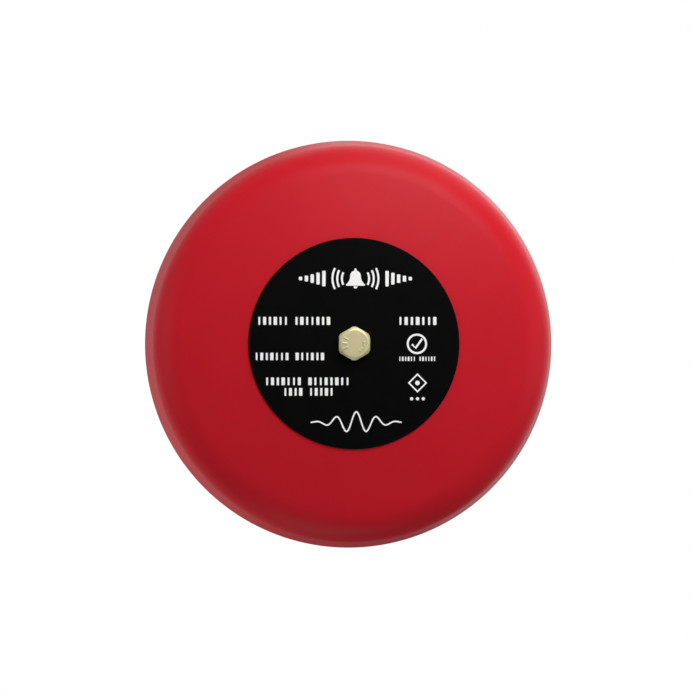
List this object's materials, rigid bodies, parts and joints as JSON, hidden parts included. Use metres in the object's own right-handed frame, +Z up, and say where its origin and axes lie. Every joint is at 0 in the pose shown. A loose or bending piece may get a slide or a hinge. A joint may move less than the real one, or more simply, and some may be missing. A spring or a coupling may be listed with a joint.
{
  "type": "fire alarm bell",
  "caption": "Round wall-mounted alarm bell: a dished red gong over a base plate, rung from inside by swinging hammers that a small motor spins.",
  "frame": {"origin": "centre of the base plate's rear face, on the gong's axis", "axes": "+Y into the wall, along the gong's axis; the gong faces -Y; +Z up the wall; +X to the right as seen from the front"},
  "size_m": [0.1524, 0.0598, 0.1524],
  "materials": {
    "red_powder_coat": "satin red powder coat, fine texture",
    "black_label_film": "black printed film, semi-gloss",
    "yellow_zinc": "yellow passivated zinc on steel",
    "bright_zinc": "bright zinc plate",
    "steel": "ground steel",
    "armature_steel": "dark laminated steel",
    "brass": "turned",
    "bronze": "sintered or rolled bronze",
    "copper": "enamelled copper",
    "black_rubber": "matte",
    "black_plastic": "moulded, fine spark texture",
    "natural_nylon": "moulded, slightly waxy",
    "ferrite": "sintered dark grey",
    "board_laminate": "green solder mask",
    "green_plastic": "moulded",
    "blue_lacquer": "dipped lacquer",
    "red_insulation": "wire insulation",
    "black_insulation": "wire insulation"
  },
  "bodies": {
    "bell_base": {"base_plate": "bright_zinc", "centre_post": "bright_zinc", "gong": "red_powder_coat", "gong_label": "black_label_film", "gong_bolt": "yellow_zinc", "isolating_washer": "black_rubber", "backing_washer": "bright_zinc", "cable_grommet": "black_rubber", "chassis": "black_plastic", "chassis_screw_1": "bright_zinc", "chassis_screw_2": "bright_zinc", "chassis_screw_3": "bright_zinc", "motor_can": "bright_zinc", "motor_end_cap": "black_plastic", "motor_bush_front": "bronze", "motor_bush_rear": "bronze", "motor_magnet_left": "ferrite", "motor_magnet_right": "ferrite", "motor_brush_positive": "bronze", "motor_brush_negative": "bronze", "motor_screw_left": "bright_zinc", "motor_screw_right": "bright_zinc", "circuit_board": "board_laminate", "board_screw_left": "bright_zinc", "board_screw_right": "bright_zinc", "terminal_block": "green_plastic", "terminal_screw_1": "bright_zinc", "terminal_screw_2": "bright_zinc", "surge_suppressor": "blue_lacquer", "polarity_diode": "black_plastic", "lead_positive": "red_insulation", "lead_negative": "black_insulation"},
    "rotor": {"motor_shaft": "steel", "commutator": "copper", "armature_core": "armature_steel", "armature_winding": "copper", "thrust_washer": "natural_nylon", "hammer_carrier": "natural_nylon", "hammer_pin_left": "steel", "hammer_pin_right": "steel", "hammer_clip_left": "bright_zinc", "hammer_clip_right": "bright_zinc", "shaft_push_nut": "bright_zinc"},
    "hammer_left": {"hammer_left_arm": "steel", "hammer_left_weight": "brass"},
    "hammer_right": {"hammer_right_arm": "steel", "hammer_right_weight": "brass"}
  },
  "joints": [
    {"name": "rotor_spin", "type": "hinge", "parent": "bell_base", "child": "rotor", "pos_m": [0, 0, -0.0395], "axis": [0, -1, 0], "continuous": true},
    {"name": "hammer_left_swing", "type": "hinge", "parent": "rotor", "child": "hammer_left", "pos_m": [-0.0095, 0, -0.0395], "axis": [0, -1, 0], "range_deg": [-195, 15]},
    {"name": "hammer_right_swing", "type": "hinge", "parent": "rotor", "child": "hammer_right", "pos_m": [0.0095, 0, -0.0395], "axis": [0, -1, 0], "range_deg": [-15, 195]}
  ]
}
